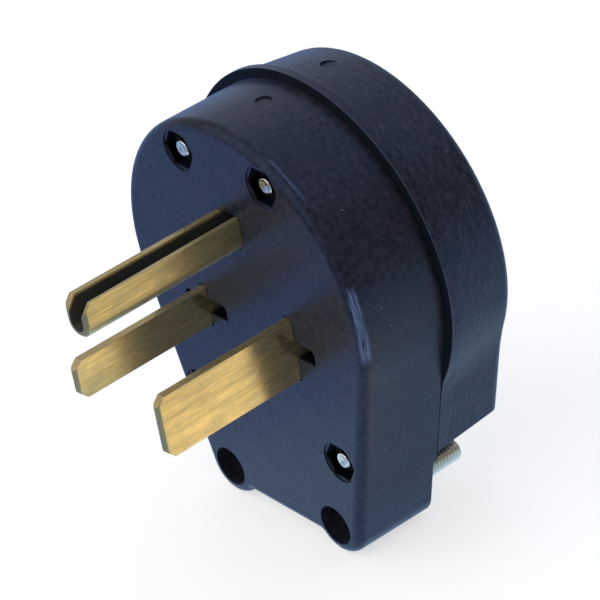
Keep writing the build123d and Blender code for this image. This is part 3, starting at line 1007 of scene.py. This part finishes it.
FLOOR_SIZE = 6.0
FLOOR_TONE = (0.8, 0.8, 0.8, 1.0)
FLOOR_OWN_WHITE = 0.62
ALONG = (0.815, 0.58, 0.0)
AHEAD = (0.58, -0.815, 0.0)
LEFT_TONE = (0.28, 0.45, 0.82)
NEAR_TONE = (0.60, 0.84, 1.14)
RIGHT_TONE = (0.52, 0.74, 0.92)
BESIDE_TONE = (1.24, 1.18, 0.98)
NEAR_RANGE = (-0.06, -0.015)
RIGHT_RANGE = (0.010, 0.040)
BESIDE_RANGE = (0.03, 0.05)
BESIDE_WINDOW = (0.011, 0.06, 0.008)
FADE_RANGE = (0.06, 0.10)
FADE_STRENGTHS = (1.0, 0.45)
LAMP_TARGET = (0.0, 0.0, 0.042)
WORLD_TONE = (1.0, 0.96, 0.94, 1.0)
WORLD_STRENGTH = 0.29


def distance_along(tree, direction):
    """How far a place on the floor lies in a direction."""
    place = tree.nodes.new("ShaderNodeTexCoord")
    node = new_node(tree, "ShaderNodeVectorMath", operation="DOT_PRODUCT")
    node.inputs[1].default_value = direction
    tree.links.new(place.outputs["Object"], node.inputs[0])
    return node.outputs["Value"]


def seen_floor(tree, path):
    """The floor as the camera sees it: part of its white is its own, part is the light on it."""
    diffuse = new_node(tree, "ShaderNodeBsdfDiffuse", Color=FLOOR_TONE)
    glow = new_node(tree, "ShaderNodeEmission", Color=(1.0, 1.0, 1.0, 1.0))
    own = times(tree, path.outputs["Is Camera Ray"], FLOOR_OWN_WHITE)
    tree.links.new(own, glow.inputs["Strength"])
    both = tree.nodes.new("ShaderNodeAddShader")
    tree.links.new(diffuse.outputs[0], both.inputs[0])
    tree.links.new(glow.outputs[0], both.inputs[1])
    return both.outputs[0]


def floor_painted_reflection(tree):
    """Painted reflection: the floor glows only in the plug's mirrored rays, cool to the left, warm close by
    on the right.
    """
    along = distance_along(tree, ALONG)
    ahead = distance_along(tree, AHEAD)
    near = map_range(tree, along, *NEAR_RANGE, smooth=True)
    right = map_range(tree, along, *RIGHT_RANGE, smooth=True)
    beside = map_range(tree, along, *BESIDE_RANGE, smooth=True)
    beside = times(tree, beside, window(tree, ahead, *BESIDE_WINDOW))
    tone = mix_colour(tree, near, LEFT_TONE, NEAR_TONE)
    tone = mix_colour(tree, right, tone, RIGHT_TONE)
    tone = mix_colour(tree, beside, tone, BESIDE_TONE)
    strength = map_range(tree, ahead, *FADE_RANGE, *FADE_STRENGTHS, smooth=True)
    glow = tree.nodes.new("ShaderNodeEmission")
    tree.links.new(tone, glow.inputs["Color"])
    tree.links.new(strength, glow.inputs["Strength"])
    return glow.outputs[0]


def pale_floor():
    """White floor that keeps the shadow, and glows as a painted reflection in the plug's mirrored rays."""
    clear_selection()
    bpy.ops.mesh.primitive_plane_add(size=FLOOR_SIZE, location=(0.0, 0.0, 0.0))
    floor = bpy.context.object
    floor.name = "floor"
    material = bpy.data.materials.new("pale_floor")
    material.use_nodes = True
    tree = material.node_tree
    tree.nodes.clear()
    path = tree.nodes.new("ShaderNodeLightPath")
    chosen = tree.nodes.new("ShaderNodeMixShader")
    tree.links.new(path.outputs["Is Glossy Ray"], chosen.inputs[0])
    tree.links.new(seen_floor(tree, path), chosen.inputs[1])
    # Painted reflection: mirrored rays see the glowing floor tones instead of the lit floor.
    tree.links.new(floor_painted_reflection(tree), chosen.inputs[2])
    out = tree.nodes.new("ShaderNodeOutputMaterial")
    tree.links.new(chosen.outputs[0], out.inputs["Surface"])
    floor.data.materials.append(material)


def softbox(name, place, size, watts, colour=(1.0, 1.0, 1.0)):
    """Square area lamp that points at the plug."""
    lamp = bpy.data.lights.new(name, "AREA")
    lamp.shape = "SQUARE"
    lamp.size = size
    lamp.energy = watts
    lamp.color = colour
    holder = bpy.data.objects.new(name, lamp)
    scene.collection.objects.link(holder)
    holder.location = place
    aim = Vector(LAMP_TARGET) - Vector(place)
    holder.rotation_euler = aim.to_track_quat("-Z", "Y").to_euler()


def studio_world():
    """Even light from all round."""
    world = bpy.data.worlds.new("studio")
    world.use_nodes = True
    background = world.node_tree.nodes["Background"]
    background.inputs["Color"].default_value = WORLD_TONE
    background.inputs["Strength"].default_value = WORLD_STRENGTH
    scene.world = world


pale_floor()
softbox("top_back_box", place=(-0.12, 0.50, 0.85), size=1.5, watts=2.9, colour=(0.58, 0.76, 1.0))
softbox("left_card", place=(-0.9, 0.5, 0.25), size=0.6, watts=0.35, colour=(0.7, 0.88, 1.0))
softbox("front_box", place=(-0.30, -0.95, 0.75), size=1.6, watts=6.2)
studio_world()


# Camera at the photograph's viewing angle

CAMERA_PLACE = (0.354682, -0.240115, 0.310916)
CAMERA_TURN = (57.7625, 8.822, 49.1279)
CAMERA_LENS = 177.475
CAMERA_SENSOR = 36.0
CAMERA_REACH = 20.0

eye = bpy.data.cameras.new("camera")
eye.lens = CAMERA_LENS
eye.sensor_width = CAMERA_SENSOR
eye.clip_end = CAMERA_REACH
camera = bpy.data.objects.new("camera", eye)
scene.collection.objects.link(camera)
camera.location = CAMERA_PLACE
camera.rotation_euler = tuple(math.radians(angle) for angle in CAMERA_TURN)
scene.camera = camera
